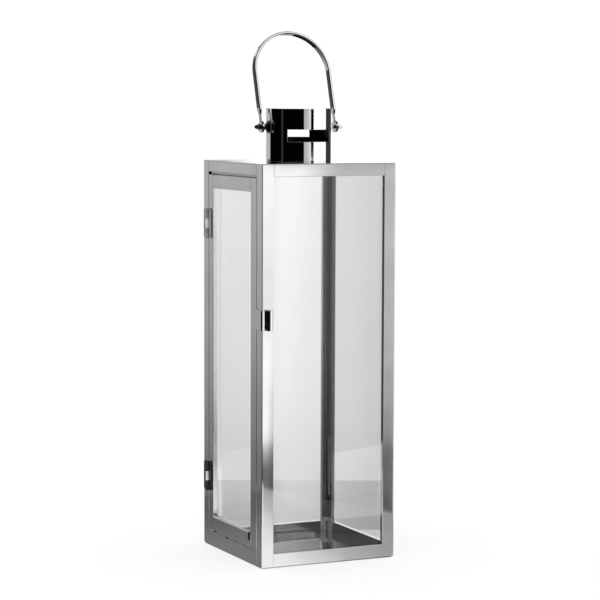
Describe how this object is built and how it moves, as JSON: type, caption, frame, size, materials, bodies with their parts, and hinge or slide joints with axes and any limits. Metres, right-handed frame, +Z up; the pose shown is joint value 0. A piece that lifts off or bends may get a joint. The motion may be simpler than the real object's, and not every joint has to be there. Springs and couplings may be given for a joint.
{
  "type": "candle lantern",
  "caption": "Tall square steel and glass candle lantern with a hinged glass door, a vented round chimney and a swinging flat bar handle.",
  "frame": {"origin": "middle of the base plate's underside, the face the lantern stands on", "axes": "+Z up through the chimney; -Y the front pane, -X the door, whose hinges are at its +Y edge"},
  "size_m": [0.1639, 0.1673, 0.5799],
  "materials": {
    "plate_steel": "mirror-polished stainless sheet",
    "frame_steel": "polished stainless sheet with faint polishing lines",
    "door_steel": "polished stainless sheet with faint polishing lines",
    "latch_steel": "polished spring sheet",
    "chimney_steel": "mirror-polished stainless tube",
    "handle_steel": "polished flat bar",
    "hinge_steel": "plain rolled steel, darker than the frame",
    "fastener_steel": "plain turned steel",
    "clip_steel": "dull pressed steel",
    "glass": "clear float glass",
    "stud": "dark moulded stud"
  },
  "bodies": {
    "body": {"base_plate": "plate_steel", "floor_tray": "plate_steel", "top_plate": "plate_steel", "post_front_left": "frame_steel", "post_front_right": "frame_steel", "post_back_right": "frame_steel", "post_back_left": "frame_steel", "rail_front_bottom": "frame_steel", "rail_front_top": "frame_steel", "rail_back_bottom": "frame_steel", "rail_back_top": "frame_steel", "rail_right_bottom": "frame_steel", "rail_right_top": "frame_steel", "door_sill": "frame_steel", "door_lintel": "frame_steel", "pane_front": "glass", "pane_back": "glass", "pane_right": "glass", "clip_front_left_bottom": "clip_steel", "clip_front_left_top": "clip_steel", "clip_front_right_bottom": "clip_steel", "clip_front_right_top": "clip_steel", "clip_back_left_bottom": "clip_steel", "clip_back_left_top": "clip_steel", "clip_back_right_bottom": "clip_steel", "clip_back_right_top": "clip_steel", "sill_stud": "stud", "hinge_lower_frame_leaf": "hinge_steel", "hinge_lower_pin": "hinge_steel", "hinge_upper_frame_leaf": "hinge_steel", "hinge_upper_pin": "hinge_steel", "chimney": "chimney_steel", "pivot_boss_left": "fastener_steel", "pivot_screw_left": "fastener_steel", "pivot_nut_left": "fastener_steel", "cap_nut_left": "fastener_steel", "pivot_boss_right": "fastener_steel", "pivot_screw_right": "fastener_steel", "pivot_nut_right": "fastener_steel", "cap_nut_right": "fastener_steel"},
    "door": {"door_stile_hinge": "door_steel", "door_stile_latch": "door_steel", "door_rail_bottom": "door_steel", "door_rail_top": "door_steel", "door_glass": "glass", "door_clip_upper_hinge": "clip_steel", "door_clip_upper_latch": "clip_steel", "door_clip_lower_hinge": "clip_steel", "door_clip_lower_latch": "clip_steel", "latch_strap": "latch_steel", "hinge_lower_door_leaf": "hinge_steel", "hinge_upper_door_leaf": "hinge_steel"},
    "handle": {"carry_handle": "handle_steel"}
  },
  "joints": [
    {"name": "door_hinge", "type": "hinge", "parent": "body", "child": "door", "pos_m": [-0.0821, 0.0655, 0.22], "axis": [0, 0, -1], "range_deg": [0, 170]},
    {"name": "handle_swing", "type": "hinge", "parent": "body", "child": "handle", "pos_m": [0, 0, 0.4745], "axis": [1, 0, 0], "range_deg": [-95, 128]}
  ]
}
